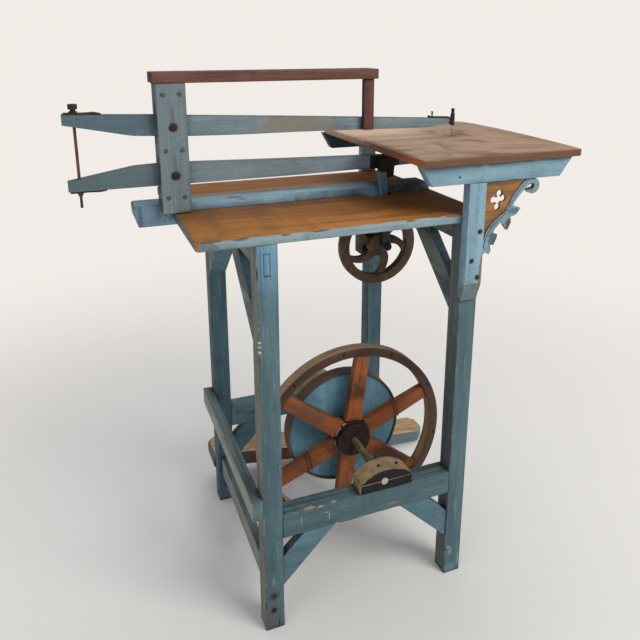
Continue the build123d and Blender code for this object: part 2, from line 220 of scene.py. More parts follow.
def rgb(hex_or_tuple):
    """A linear colour from an sRGB hex string."""
    if not isinstance(hex_or_tuple, str):
        return hex_or_tuple
    v = [int(hex_or_tuple[i:i + 2], 16) / 255 for i in (0, 2, 4)]
    return tuple(c / 12.92 if c <= 0.04045 else ((c + 0.055) / 1.055) ** 2.4 for c in v) + (1.0,)


def at(x, y, z):
    """A place given in millimetres from the front left leg."""
    return Vector(((x - 226) / MM, (y - 285.5) / MM, z / MM))


def spot(x, y, z, rx, ry, rz, colour, strength):
    """A patch of colour at a place as for at(), with its radii in millimetres too: mostly stains, and some painted
    light and shade.
    """
    return at(x, y, z), (rx / MM, ry / MM, rz / MM), colour, strength


def grain_scale(axis, along, across):
    return tuple(along if a == axis else across for a in "XYZ")


# ---------------------------------------------------------------- materials
def paint(name, axis, mid, light, dark, left=None, high=None, wear=0.5, dirt=0.45, top="7F7C6C", top_wear=0.7,
          chips="B3A58C", spots=(), seed=0.0):
    """Old blue paint on wood: brush marks along the grain, dirt, painted shade in corners, rubbed tops and edges,
    small chips.

    left is the pair of colours of faces that look left, partly the paint's own grey and partly painted shade, high
    is (from, to, colour) up the piece."""
    pale_streak, outline, near_black, bare_dark = "B9C6C6", "2B2B29", "20221F", "4A443B"
    m = Net(name)
    off = (seed * 1.7, seed * 0.9, seed * 2.3)
    grain = m.stretch(grain_scale(axis, 5, 120), off)
    broad = m.stretch(grain_scale(axis, 3.0, 22), off)
    plain = m.stretch((1, 1, 1), off)
    streak = m.noise(grain, 1.0, 5.0, 0.6, 0.4)
    patch = m.noise(broad, 1.0, 5.0, 0.62)
    blotch = m.noise(plain, 16.0, 6.0, 0.65, 0.8)
    fine = m.noise(plain, 150.0, 4.0, 0.6)
    # the paint itself
    colour = m.mix(m.step(patch, 0.36, 0.66), mid, light)
    if high:
        colour = m.lay(colour, high[2], m.band("Z", high[0], high[1]), 0.9)
    if left:
        colour = m.lay(colour, m.mix(m.step(patch, 0.42, 0.6), left[0], left[1]), m.facing("X", -0.4, -0.8), 0.92)
    # brush marks, blotches and rubbed tops
    colour = m.lay(colour, dark, m.step(streak, 0.46, 0.78), 0.5)
    colour = m.lay(colour, dark, m.step(blotch, 0.5, 0.78), dirt)
    colour = m.lay(colour, pale_streak, m.step(m.noise(grain, 1.7, 4.0, 0.6), 0.6, 0.72), 0.22)
    rubbed = m.math("MULTIPLY", m.facing("Z", 0.5, 0.9), m.step(m.noise(broad, 2.2, 5.0, 0.7), 0.3, 0.58))
    colour = m.lay(colour, m.mix(m.step(streak, 0.4, 0.65), top, dark), rubbed, top_wear)
    colour = m.lay(colour, dark, m.step(m.noise(plain, 420.0, 2.0, 0.6), 0.56, 0.7), 0.3)
    # dark outlines, bare wood along the edges and in chips
    rim = m.edges(0.0035)
    colour = m.lay(colour, outline, m.step(rim, 0.06, 0.3), 0.5)
    ragged = m.step(m.noise(plain, 60.0, 5.0, 0.7), 0.62 - 0.25 * wear, 0.7 - 0.2 * wear)
    edge = m.math("MULTIPLY", m.step(rim, 0.02, 0.16), ragged)
    chip = m.step(m.noise(plain, 85.0, 3.0, 0.6, 1.5), 0.715, 0.735)
    bare = m.math("MAXIMUM", m.scaled(edge, 0.75), m.scaled(chip, min(1.0, wear + 0.1)))
    colour = m.mix(bare, colour, m.mix(m.step(m.noise(plain, 33.0, 2.0), 0.5, 0.6), bare_dark, chips))
    colour = m.spots(colour, spots)
    colour = m.mottle(colour, m.noise(plain, 210.0, 3.0, 0.7), dark, (0.52, 0.68, 0.3), light, (0.48, 0.32, 0.22))
    # painted shade: near-black laid into corners and along joints
    colour = m.lay(colour, near_black, m.corner_shade(), 0.62)
    height = m.math("ADD", m.scaled(streak, 0.6), m.scaled(fine, 0.25))
    m.bump(m.math("SUBTRACT", height, m.scaled(bare, 0.5)), 0.35, 0.0011)
    return m.finish(colour, m.math("ADD", 0.46, m.scaled(blotch, 0.3)), specular=0.35)


def wood(name, axis, light, mid, dark, fine=90, rings=9.0, knots=0.2, stain=0.4, shine=0.5, edge="3A281A", rim=0.6,
         bump=0.35, hub=None, left=None, front=None, spots=(), seed=0.0):
    """Bare or stained wood: growth rings and pores along the grain, stains, worn edges, painted shade in corners.
    hub turns it polar.
    """
    m = Net(name)
    off = (seed * 1.3, seed * 2.1, seed * 0.7)
    place = m.polar(hub) if hub else m.pos
    grain = m.stretch(grain_scale(axis, 4, fine), off, place)
    broad = m.stretch(grain_scale(axis, 1.2, fine * 0.16), off, place)
    plain = m.stretch((1, 1, 1), off)
    ring = m.math("PINGPONG", m.scaled(m.noise(broad, 1.0, 3.0, 0.5, 1.2), rings), 1.0)
    pores = m.noise(grain, 2.2, 5.0, 0.65, 0.3)
    blotch = m.noise(plain, 8.0, 6.0, 0.62, 0.6)
    dust = m.noise(plain, 170.0, 3.0, 0.6)
    colour = m.mix(m.step(ring, 0.05, 0.95), light, mid)
    for side, tint in (("X", left), ("Y", front)):
        if tint:
            colour = m.lay(colour, tint, m.facing(side, -0.4, -0.8), 0.9)
    colour = m.lay(colour, dark, m.step(pores, 0.5, 0.75), 0.7)
    colour = m.lay(colour, dark, m.step(blotch, 0.5, 0.72), stain)
    colour = m.lay(colour, dark, m.step(m.noise(plain, 30.0, 5.0, 0.7), 0.56, 0.72), stain * 0.5)
    across = m.stretch(grain_scale("Y", 2.2, 9.0), off, place)  # knots are drawn out across the boards
    knot = m.step(m.cells(across, 1.0), 0.09, 0.03)
    colour = m.lay(colour, dark, knot, knots)
    colour = m.lay(colour, dark, m.step(m.noise(plain, 380.0, 2.0, 0.6), 0.56, 0.7), 0.3)
    worn = m.math("MULTIPLY", m.step(m.edges(0.004), 0.02, 0.2), m.step(m.noise(plain, 45.0, 4.0, 0.7), 0.36, 0.58))
    colour = m.lay(colour, edge, worn, rim)
    colour = m.spots(colour, spots)
    colour = m.mottle(colour, m.noise(grain, 1.3, 5.0, 0.75), dark, (0.54, 0.7, 0.35), light, (0.46, 0.3, 0.25))
    # painted shade: near-black laid into corners and along joints
    colour = m.lay(colour, "1E1712", m.corner_shade(), 0.6)
    m.bump(m.math("ADD", m.scaled(pores, 0.8), m.scaled(dust, 0.15)), bump, 0.001)
    return m.finish(colour, m.math("ADD", shine, m.scaled(pores, 0.25)), specular=0.4)


def iron(name, dark="1E1A17", mid="33261F", rust="5A3420", amount=0.5, metallic=0.5, shine=0.45, bright="7A6C60",
         scale=1.0, seed=0.0):
    """Old iron: dark skin, rust patches and rubbed edges."""
    m = Net(name)
    plain = m.stretch((1, 1, 1), (seed, seed * 2, seed * 3))
    patch = m.noise(plain, 24.0 * scale, 6.0, 0.65, 0.7)
    grit = m.noise(plain, 260.0, 4.0, 0.6)
    colour = m.mix(m.step(patch, 0.38, 0.62), dark, mid)
    colour = m.lay(colour, rust, m.step(m.noise(plain, 65.0 * scale, 5.0, 0.7), 0.48, 0.66), amount)
    colour = m.lay(colour, bright, m.step(m.edges(0.0025), 0.03, 0.25), 0.4)
    m.bump(m.math("ADD", grit, m.scaled(patch, 0.6)), 0.35, 0.0006)
    return m.finish(colour, m.math("ADD", shine, m.scaled(grit, 0.3)), metallic)


# ---------------------------------------------------------------- mesh helpers
def shade(obj):
    bm = bmesh.new()
    bm.from_mesh(obj.data)
    for f in bm.faces:
        f.smooth = True
    for e in bm.edges:
        e.smooth = len(e.link_faces) == 2 and e.calc_face_angle(0) < SMOOTH_BELOW
    bm.to_mesh(obj.data)
    bm.free()


def piece(name, bm, body, mats, node=None):
    """A finished mesh that rides on a body and may stand for a CAD node. mats may be one material or several."""
    me = bpy.data.meshes.new(name)
    bmesh.ops.recalc_face_normals(bm, faces=bm.faces)
    bm.to_mesh(me)
    bm.free()
    o = bpy.data.objects.new(name, me)
    scene.collection.objects.link(o)
    for mat in mats if isinstance(mats, list) else [mats]:
        me.materials.append(mat)
    shade(o)
    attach(o, body)
    if node:
        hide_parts(node)


def node_piece(node, bm, mats):
    """The piece that stands for a CAD node."""
    piece("v_" + node, bm, body_of[node], mats, node)


def rounded(node, bevel, segments=2):
    """The node's own solid with its sharp edges rounded."""
    bm = bmesh.new()
    bm.from_mesh(nodes[node].data)
    bmesh.ops.remove_doubles(bm, verts=bm.verts, dist=MERGE)
    bmesh.ops.dissolve_limit(bm, angle_limit=FLAT_BELOW, verts=bm.verts, edges=bm.edges)
    if bevel:
        sharp = [e for e in bm.edges if len(e.link_faces) == 2 and e.calc_face_angle(0) > ROUND_ABOVE]
        bmesh.ops.bevel(bm, geom=sharp, offset=bevel, segments=segments, profile=0.6, affect="EDGES",
                        clamp_overlap=True)
    return bm


def cut(bm, place, away, dist=MERGE, clear=False):
    """Cuts the whole mesh with a plane, and may throw away what lies beyond it."""
    return bmesh.ops.bisect_plane(bm, geom=bm.verts[:] + bm.edges[:] + bm.faces[:], dist=dist, clear_outer=clear,
                                  plane_co=place, plane_no=away)


def weather(bm, axis, every=0.014, amount=0.0011, seed=0.0):
    """Cuts a timber into short lengths and wears its rounded edges back, a little unevenly, with a few chips."""
    k = "XYZ".index(axis)
    lo, hi = (f(v.co[k] for v in bm.verts) for f in (min, max))
    step = Vector([1.0 if i == k else 0.0 for i in range(3)])
    for i in range(1, int((hi - lo) / every)):
        cut(bm, step * (lo + i * every), step)
    bm.normal_update()
    for v in bm.verts:
        corner = 1 - min(v.normal.dot(f.normal) for f in v.link_faces)
        if corner > 0.02:
            p = v.co * 38 + Vector((seed, seed * 2, -seed))
            rub = max(0.0, noise.noise(p) * 0.9 + 0.25)
            chip = max(0.0, noise.noise(p * 2.3 + Vector((9, 4, 2))) - 0.42) * 7
            v.co -= v.normal * amount * min(3.0, rub + chip)


def assign(bm, second):
    """Gives the second material to the faces that the test picks, and the first to the others."""
    bm.normal_update()
    for f in bm.faces:
        f.material_index = 1 if second(f) else 0


def faces_front(f, before):
    """True for a face that looks to the front and lies in front of a Y in millimetres."""
    return f.normal.y < -0.8 and f.calc_center_median().y < at(0, before, 0).y


def nick(bm, corner, away, depth, index):
    """Cuts a small piece off a corner, looking along away, and gives the cut its own material."""
    away.normalize()
    made = cut(bm, corner - away * depth, away, dist=1e-7, clear=True)
    rim = [e for e in made["geom_cut"] if isinstance(e, bmesh.types.BMEdge)]
    for f in bmesh.ops.holes_fill(bm, edges=rim, sides=0)["faces"]:
        f.material_index = index


def bar(bm, lo, hi, bevel=0.0001):
    """A small bar between two corners, with softened edges."""
    size = hi - lo
    spread = Matrix.Translation((lo + hi) / 2) @ Matrix.Diagonal((*size, 1))
    made = bmesh.ops.create_cube(bm, size=1.0, matrix=spread)["verts"]
    rims = list({e for v in made for e in v.link_edges})
    bmesh.ops.bevel(bm, geom=rims, offset=bevel, segments=2, affect="EDGES", clamp_overlap=True)


def cup(bm, centre, r, height, axis="Z"):
    """A low turned head or sunk hole with a raised lip. It looks up, or to the front for axis Y."""
    out = 1 if axis == "Z" else -1
    sunk = 0.001
    profile = [(0, -sunk), (r, -sunk), (r, height * 0.4), (r * 0.86, height * 0.75), (r * 0.6, height * 0.5),
               (r * 0.3, height * 0.15), (0, height * 0.1)]
    part = solid_of([(u, t * out) for u, t in profile], centre, 20, axis)
    me = bpy.data.meshes.new("cup")
    part.to_mesh(me)
    part.free()
    bm.from_mesh(me)
    bpy.data.meshes.remove(me)


def ring_mesh(profile, centre, steps, axis, start=0.0, sweep=360.0):
    """Turns a profile of (radius, along) pairs round an axis through centre. A short sweep gets end caps."""
    bm = bmesh.new()
    full = sweep >= 360.0
    rows = []
    for i in range(steps if full else steps + 1):
        a = math.radians(start + sweep * i / steps)
        row = []
        for r, t in profile:
            u, w = r * math.cos(a), r * math.sin(a)
            row.append(bm.verts.new(Vector(centre) + Vector({"Y": (u, t, w), "Z": (u, w, t)}[axis])))
        rows.append(row)
    n = len(profile)
    for i in range(steps):
        a, b = rows[i], rows[(i + 1) % len(rows)]
        for j in range(n):
            bm.faces.new((a[j], a[(j + 1) % n], b[(j + 1) % n], b[j]))
    if not full:
        bm.faces.new(rows[0])
        bm.faces.new(rows[-1][::-1])
    return bm


def solid_of(profile, centre, steps, axis):
    """A turned solid: the profile's first and last points lie on the axis."""
    bm = ring_mesh([(max(r, 1e-5), t) for r, t in profile], centre, steps, axis)
    bmesh.ops.remove_doubles(bm, verts=bm.verts, dist=5e-5)
    return bm


def slab(bm, front, back):
    """A flat solid between two outlines with as many points."""
    near, far = ([bm.verts.new(p) for p in side] for side in (front, back))
    bm.faces.new(near)
    bm.faces.new(far[::-1])
    for i in range(len(near)):
        j = (i + 1) % len(near)
        bm.faces.new((near[j], near[i], far[i], far[j]))


def wire(name, points, radius, body, mat, closed=False):
    """A thin round wire through the points."""
    curve = bpy.data.curves.new(name, "CURVE")
    curve.dimensions, curve.bevel_depth, curve.bevel_resolution = "3D", radius, 2
    sp = curve.splines.new("NURBS")
    sp.points.add(len(points) - 1)
    for p, q in zip(sp.points, points):
        p.co = (*q, 1)
    sp.order_u, sp.use_endpoint_u, sp.use_cyclic_u = 3, not closed, closed
    o = bpy.data.objects.new(name, curve)
    scene.collection.objects.link(o)
    curve.materials.append(mat)
    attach(o, body)


# ---------------------------------------------------------------- finishes
HUB_MM = (286, 190, 319)
HUB = at(*HUB_MM)
WHITE, CREAM, SOOT = "C9D0CF", "C7B088", "1D1A18"
LEG = dict(axis="Z", mid="476169", light="56737B", dark="2A3A40", wear=0.65, chips=CREAM)
SKY = dict(mid="789AA9", light="8FB0BC", dark="4B6673", chips="6E5B45")
SLATE = dict(mid="6C8089", light="82929A", dark="3E4B52", top="76746A")
ROUND_HUB = dict(fine=60, hub=HUB, knots=0.0)


def bolt_stains(places, r, y, colour):
    return [spot(x, y, z, r, 8, r, colour, 0.85) for x, z in places]


# legs
leg_front_left = paint(
    "leg_front_left", left=("857D6B", "67655C"), high=(0.76, 0.9, "6C99B4"), seed=5, **LEG, spots=[
        spot(20, 0, 90, 14, 10, 14, "423B33", 0.7), spot(19, 0, 52, 10, 10, 12, "33291F", 0.8),
        spot(14, 0, 20, 30, 10, 60, "565955", 0.6), spot(20, 0, 128, 3, 10, 14, "7FA0A8", 0.5),
        *(spot(1, 0, z, 5, 6, 3.5, WHITE, 0.95) for z in (710, 700, 689))])
# this leg's darker left colours, on the face that looks into the stand, are painted shade
leg_front_right = paint(
    "leg_front_right", left=("5D6265", "4D5456"), high=(0.68, 0.85, "56798A"), seed=11, **LEG, spots=[
        spot(478, 0, 12, 16, 10, 16, "6E8C9B", 0.6), spot(497, 0, 34, 4, 10, 20, "7F9096", 0.7),
        spot(470, 0, 76, 7, 10, 1.8, WHITE, 0.7), spot(474, 0, 62, 6, 10, 12, "84A2AF", 0.6)])
leg_back = paint("leg_back", "Z", "3F5760", "4F6F7C", "26363C", left=("43565C", "37464A"), seed=8,
                 spots=[spot(23.5, 468, 50, 11, 10, 14, "2E2923", 0.8)])

# rails, braces and beam
rail_blue = paint(
    "rail_blue", "X", "48636A", "58767F", "2C3F46", top="6E726A", chips="8D9186", seed=2, spots=[
        spot(106, 0, 295, 16, 10, 2.2, "B49A6C", 0.8), spot(131, 0, 293, 8, 10, 2, CREAM, 0.7),
        spot(146, 0, 274, 6, 10, 1.4, "8FB0B8", 0.8), spot(171, 0, 237.5, 3, 10, 3, WHITE, 0.9),
        spot(152, 0, 264, 2, 10, 12, "7FA3AC", 0.6), spot(163, 0, 296, 9, 10, 2, "A9B6B4", 0.6),
        spot(86, 0, 271, 1.6, 10, 16, "7FA3AC", 0.6), spot(310, 0, 250, 7, 10, 6, "9A6C3C", 0.7)])
side_blue = paint("side_blue", "Y", "4F676D", "627C82", "33464D", left=("9E9B8F", "858880"), top="70746C",
                  chips=CREAM, wear=0.6, seed=3)
brace_blue = paint("brace_blue", "X", "4E6E79", "5F828F", "30444C", left=("565C5B", "474D4D"), top="60655E",
                   seed=4)
end_blue = paint("end_blue", "Y", "4A6873", "5A7D8C", "2C3C43", left=("7C7D77", "3F4749"), top="5E625C", seed=6)
# the last spot is a painted shadow on the beam's top, under the table
beam_blue = paint(
    "beam_blue", "X", "7F9FB2", "94B3C3", "48606C", left=("5F7A82", "4C656C"), top="8BA1AB", seed=7, spots=[
        spot(25, 262, 946, 22, 16, 6, "5A4630", 0.6), spot(-180, 243, 925, 70, 30, 40, "567281", 0.8),
        spot(-184, 236, 925, 6, 20, 50, "3B5059", 0.6), spot(450, 275, 946, 100, 60, 30, "1E272C", 0.85)])

# arms, pitman and column
arm_blue = paint(
    "arm_blue", "X", wear=0.45, seed=1, **SLATE, spots=[
        spot(-250, 253, 1128, 170, 100, 50, "3D545F", 0.75), spot(-250, 253, 1005, 170, 100, 50, "455A5C", 0.75),
        spot(165, 243, 1100, 110, 30, 40, "857B6C", 0.5), spot(165, 243, 1100, 75, 30, 30, "877C6C", 0.6),
        spot(226, 243, 1097, 50, 30, 18, "7C7B73", 0.6)])
pitman_blue = paint("pitman_blue", "Z", "5D7F92", "6E90A2", "3A4F5B", seed=18,
                    spots=[spot(392, 232, 845, 40, 30, 72, "26282A", 0.92)])
COLUMN_SCREWS = [(x, z) for x in (-125, -91) for z in (965.5, 1065, 1179.5)]
ARM_PIVOTS = [(-107.5, 1113), (-107.5, 1012)]
column_blue = paint(
    "column_blue", "Z", "6C7D83", "7D8788", "4C5759", left=("565F60", "4A5050"), chips="8A8F88", wear=0.3, seed=9,
    spots=bolt_stains(COLUMN_SCREWS, 6.2, 221, "3E4648") + bolt_stains(ARM_PIVOTS, 11.8, 221, SOOT)
    + [spot(x, 221, z + 22, 5, 10, 30, "50575A", 0.6) for x, z in ARM_PIVOTS])

# table post, battens, bracket
POST_BOLTS = [(485.6, 894), (469, 830), (485.9, 791)]
post_blue = paint(
    "post_blue", "Z", wear=0.6, seed=12, **SKY, spots=bolt_stains(POST_BOLTS, 7.5, -23, "40382F") + [
        spot(475, -23, 745, 60, 40, 34, "5E6865", 0.85), spot(470, -23, 775, 30, 30, 4, "6E5038", 0.6),
        spot(494, -23, 800, 6, 30, 50, "6A5A45", 0.8)])
batten_blue = paint("batten_blue", "X", "7091A0", "85A6B3", "4B6673", chips="6E5B45", top_wear=0.3, seed=13)
# batten_shade is the batten paint darkened: painted shade on the back batten under the table
batten_shade = paint("batten_shade", "X", "2F4653", "3B5564", "1D2B34", seed=14)
# the dark spots paint the shade in the scroll's eye and in the hollows of the carved leaves
edging_blue = paint(
    "edging_blue", "Z", "6A8790", "86A4AE", "343C40", wear=0.9, dirt=0.7, chips="7A6A52", seed=15, spots=[
        spot(613, -17, 980, 12, 20, 9, "3A322C", 0.85), spot(566, -17, 903, 16, 20, 14, "43362B", 0.85),
        spot(524, -17, 872, 14, 20, 20, "434C4B", 0.85), spot(575, -17, 930, 18, 20, 8, "4C5A5E", 0.75)])
panel_wood = wood("panel_wood", "X", "9C7040", "805830", "42290F", rings=4.0, stain=0.6, seed=6,
                  spots=[spot(512, -15, 880, 25, 20, 30, "6B4A2C", 0.6)])

# shelves and table
EDGE_STAINS = ((-88, 30), (-30, 20), (60, 12), (128, 28), (330, 14), (430, 20))
shelf_edge = paint(
    "shelf_edge", "X", "7D949C", "93A6AB", "4D5A5E", left=("4C4F4A", "3C403D"), wear=0.85, chips="8A6A45", seed=17,
    spots=[spot(x, 0, 929, half, 10, 5, "4A3726", 0.85) for x, half in EDGE_STAINS]
    + [spot(-95, 0, 917, 30, 10, 12, "5D625C", 0.7)])
# the second spot is a painted shadow on the shelf under the table
shelf_wood = wood(
    "shelf_wood", "X", "AE7230", "965D23", "54320F", stain=0.5, rings=5.0, seed=1, spots=[
        spot(-60, 130, 930, 30, 60, 10, "8A5628", 0.5), spot(440, 130, 930, 120, 160, 30, "62401F", 0.72),
        spot(20, 60, 930, 50, 12, 10, "8A5A2C", 0.5), spot(250, 90, 930, 70, 14, 10, "7A4A20", 0.55)])
raw_wood = wood("raw_wood", "X", "C98A45", "B5732F", "6E451F", seed=20, stain=0.2)
table_wood = wood(
    "table_wood", "X", "C6A68C", "AC8C73", "664634", stain=0.95, rings=2.0, edge="7E5A3A", rim=0.45, bump=0.25,
    left="AC5A18", front="5A3412", seed=2, spots=[
        spot(340, 230, 1057, 16, 290, 20, "6E4527", 0.85),
        # these three pale spots paint a pool of light on the back of the table
        *(spot(420, 400, 1057, rx, ry, 20, "DCBCA0", k) for rx, ry, k in ((190, 240, 0.4), (140, 180, 0.45),
                                                                         (100, 130, 0.5))),
        spot(530, -33, 1058, 260, 16, 4, "6A4428", 0.6), spot(640, 40, 1057, 100, 35, 10, "856655", 0.4),
        spot(480, 20, 1057, 60, 20, 10, "856655", 0.6), spot(735, 200, 1057, 30, 200, 10, "8A6A58", 0.5),
        spot(579, 253, 1057, 30, 30, 20, "6B4A38", 0.5)])
# the dark left colours of the top bar and guide post are painted shade on their faces that look left
bar_red = wood("bar_red", "X", "6D4439", "57362D", "2E1C17", seed=3, stain=0.5, left="2C1D1A", knots=0.0)
guide_red = wood("guide_red", "Z", "734639", "5C362C", "2E1C17", seed=3, left="3C2621", knots=0.0)

# flywheel, bearings and treadle
# the second spot is painted shade on the lower right spoke
spoke_red = wood(
    "spoke_red", "X", "A65A2C", "884A24", "32190E", fine=55, rings=3.0, hub=HUB, stain=0.85, seed=4, knots=0.0,
    rim=0.5, spots=[spot(146, 190, 399, 90, 50, 50, "5F4534", 0.7),
                    spot(416, 190, 244, 110, 50, 50, "2E1A12", 0.8)])
rim_outer = wood("rim_outer", "Z", "AE8B6A", "957455", "352B24", stain=0.55, seed=10, **ROUND_HUB)
rim_face = wood("rim_face", "Z", "4F3627", "3D2A20", "1D1613", stain=0.5, seed=11, edge="6B5340", rim=0.5,
                **ROUND_HUB)
belt_brown = wood("belt_brown", "Z", "6E5A46", "57473A", "2A211B", stain=0.5, seed=19, **ROUND_HUB)
disc_blue = paint("disc_blue", "Z", "6594A9", "76A5B9", "33505F", wear=0.3, dirt=0.5, chips="9FB3BC", seed=16)
cream = wood("cream", "Y", "CDB98C", "BBA273", "7E6A48", seed=21, stain=0.2)
cap_tan = wood("cap_tan", "X", "A88F6C", "8E795B", "3E352B", seed=7, edge="857459", rim=0.4, stain=0.85)
cap_black = wood("cap_black", "X", "1B191A", "161415", "0D0C0C", seed=8, shine=0.8, edge="4A4238", rim=0.4,
                 knots=0.0)
rod_wood = wood("rod_wood", "Z", "6E5E48", "5A4C3B", "2B2622", seed=9)
tread_top = wood("tread_top", "X", "D0AE86", "B49270", "4E4034", seed=12)
tread_side = wood("tread_side", "X", "7C4A30", "643A27", "2E1E16", seed=13, spots=[
    spot(20, 515, 95, 100, 120, 60, "4C626B", 0.9), spot(640, 515, 30, 110, 120, 60, "5A7A84", 0.9)])

# metal
dark_iron = iron("dark_iron")
near_black = iron("near_black", "0B0A09", "120F0D", "1C1510", seed=9, bright="2E2824")
wheel_iron = iron("wheel_iron", "3E3128", "5A4638", "6E4E3A", seed=2, bright="75614F")
rod_iron = iron("rod_iron", "4E3626", "6B4A33", "7E5638", seed=3, metallic=0.6)
shaft_iron = iron("shaft_iron", "5E4C36", "85714F", "6A4A2C", seed=4, metallic=0.35, scale=2.0)
pale_iron = iron("pale_iron", "A8A79C", "BDBCB2", "8A7A62", amount=0.3, metallic=0.2, seed=5)
blade_steel = iron("blade_steel", "6E6A66", "8C8883", "6A5446", amount=0.3, metallic=0.9, shine=0.3, seed=6)

# each plain piece's material, and the way its timber runs where its edges are worn back
PLAN = {"leg_front_left": (leg_front_left, "Z"), "leg_front_right": (leg_front_right, "Z"),
        "leg_back_left": (leg_back, "Z"), "leg_back_right": (leg_back, "Z"),
        "rail_front": (rail_blue, "X"), "rail_back": (brace_blue, "X"), "side_rail": (side_blue, "Y"),
        "side_rail_low": (side_blue, "Y"), "end_rails": (end_blue, "Y"), "braces_front": (brace_blue, None),
        "braces_back": (brace_blue, None), "top_braces_left": (end_blue, None), "top_braces_right": (end_blue, None),
        "bed_beam": (beam_blue, "X"), "upper_arm": (arm_blue, "X"), "lower_arm": (arm_blue, "X"),
        "column_front": (column_blue, "Z"), "column_back": (column_blue, "Z"), "column_spacers": (column_blue, None),
        "batten_front": (batten_blue, "X"), "batten_back": (batten_shade, "X"), "table_post_front": (post_blue, "Z"),
        "table_post_back": (post_blue, "Z"), "top_bar": (bar_red, "X"), "guide_post": (guide_red, "Z"),
        "fly_spokes": (spoke_red, None), "bracket_panel": (panel_wood, None), "bracket_edging": (edging_blue, None),
        "belt_disc": (disc_blue, None), "belt_rim": (belt_brown, None), "connecting_rod": (rod_wood, None),
        "drive_wheel": (wheel_iron, None), "wheel_spindle": (wheel_iron, None), "column_screws": (column_blue, None)}
SPECIAL = {"shelf_front", "shelf_back", "table_top", "bearing_bases", "bearing_caps", "crankshaft", "fly_rim",
           "treadle", "blade", "pitman", "tension_rod"}


# ---------------------------------------------------------------- pieces
def make_plain_pieces():
    """The CAD solids with rounded edges. Those without a plan are dark iron."""
    for node in sorted(set(nodes) - SPECIAL):
        mat, axis = PLAN.get(node, (dark_iron, None))
        small = slot_of[node] == "dark_iron" or node == "column_screws"
        bm = rounded(node, 0.0005 if small else 0.0016)
        if axis:
            weather(bm, axis, seed=len(node) * 1.7)
        node_piece(node, bm, mat)


def make_shelves():
    """Bare tops, painted edges and a broken front left corner."""
    left = -113
    for node in ("shelf_front", "shelf_back"):
        bm = rounded(node, 0.0016)
        weather(bm, "X", seed=3.0)
        assign(bm, lambda f: f.normal.z <= 0.4)
        if node == "shelf_front":
            nick(bm, at(left, 0, 930), Vector((-0.75, -0.6, 0.35)), 0.007, 2)
            nick(bm, at(left, 0, 914), Vector((-0.6, -0.75, -0.3)), 0.004, 2)
        node_piece(node, bm, [shelf_wood, shelf_edge, raw_wood])


def make_table():
    bm = rounded("table_top", 0.0025, segments=3)
    weather(bm, "Y", amount=0.0014, seed=1.0)
    node_piece("table_top", bm, table_wood)


def make_bearings():
    """Blocks with a black front face, the shaft's bright end, the line between the halves and two oil holes."""
    for node in ("bearing_bases", "bearing_caps"):
        bm = rounded(node, 0.0022)
        weather(bm, "X", every=0.01, amount=0.0016, seed=2.0)
        assign(bm, lambda f: faces_front(f, 2))
        node_piece(node, bm, [cap_tan, cap_black])
    bm = rounded("crankshaft", 0.0006)
    assign(bm, lambda f: faces_front(f, 0))
    node_piece("crankshaft", bm, [shaft_iron, pale_iron])
    bm = bmesh.new()
    for x0, x1 in ((231, 277), (295, 354)):
        bar(bm, at(x0, -3.35, 318.5), at(x1, -2.9, 319.6))
    piece("parting_line", bm, "frame", cap_tan)
    bm = bmesh.new()
    for x, z in ((280, 346.7), (326, 342.5)):
        cup(bm, at(x, 18, z), 0.0034, 0.0012)
    piece("oil_holes", bm, "frame", near_black)


def make_flywheel_details():
    """The two-tone rim, its nails, wire round two spokes and scraps of an old collar at the hub."""
    bm = rounded("fly_rim", 0.0)
    assign(bm, lambda f: f.normal.y < -0.3)
    node_piece("fly_rim", bm, [rim_outer, rim_face])
    bm = bmesh.new()
    nail_ring, rim_front = 0.2355, -0.0152
    for deg in (96.6, 130.7, 156, 64.3, 27.7, -8.7, -38, -71, -104, -142, -176):
        a = math.radians(deg)
        cup(bm, HUB + Vector((nail_ring * math.cos(a), rim_front, nail_ring * math.sin(a))), 0.0034, 0.0008, "Y")
    piece("rim_nails", bm, "flywheel", near_black)
    half_width, slant, front, back = 0.0215, 0.004, -0.0095, 0.0135
    for deg, r in ((22.6, 0.128), (22.6, 0.136), (-157.4, 0.120), (-157.4, 0.129)):
        a = math.radians(deg)
        u, w = Vector((math.cos(a), 0, math.sin(a))), Vector((-math.sin(a), 0, math.cos(a)))
        loop = [HUB + u * (r + s * slant) + w * (half_width * s) + Vector((0, y, 0))
                for s, y in ((-1, front), (-1, back), (1, back), (1, front))]
        wire("spoke_wire", [p for q in loop for p in (q, q)], 0.0007, "flywheel", dark_iron, closed=True)
    collar = [(0.0475, -0.0122), (0.0483, -0.0105), (0.0483, -0.0082), (0.0474, -0.0081), (0.0468, -0.0122)]
    for start, sweep in ((112, 12), (132, 30), (178, 34), (226, 14)):
        piece("collar_scrap", ring_mesh(collar, HUB, 12, "Y", start, sweep), "flywheel", cream)


def make_treadle():
    bm = rounded("treadle", 0.0022)
    weather(bm, "X", every=0.02, amount=0.0016, seed=5.0)
    assign(bm, lambda f: f.normal.z <= 0.6)
    node_piece("treadle", bm, [tread_top, tread_side])


def make_pitman():
    """Painted, with its top end in iron."""
    bm = rounded("pitman", 0.001)
    z = at(0, 0, 985).z
    cut(bm, (0, 0, z), (0, 0, 1), dist=0.0)
    assign(bm, lambda f: f.calc_center_median().z > z)
    node_piece("pitman", bm, [pitman_blue, dark_iron])


def thread(z0, z1):
    """A profile that rises and falls a little each millimetre of height."""
    pitch = 0.001
    return [p for i in range(int((z1 - z0) / pitch))
            for p in ((0.0030, z0 + i * pitch), (0.0025, z0 + i * pitch + pitch / 2))]


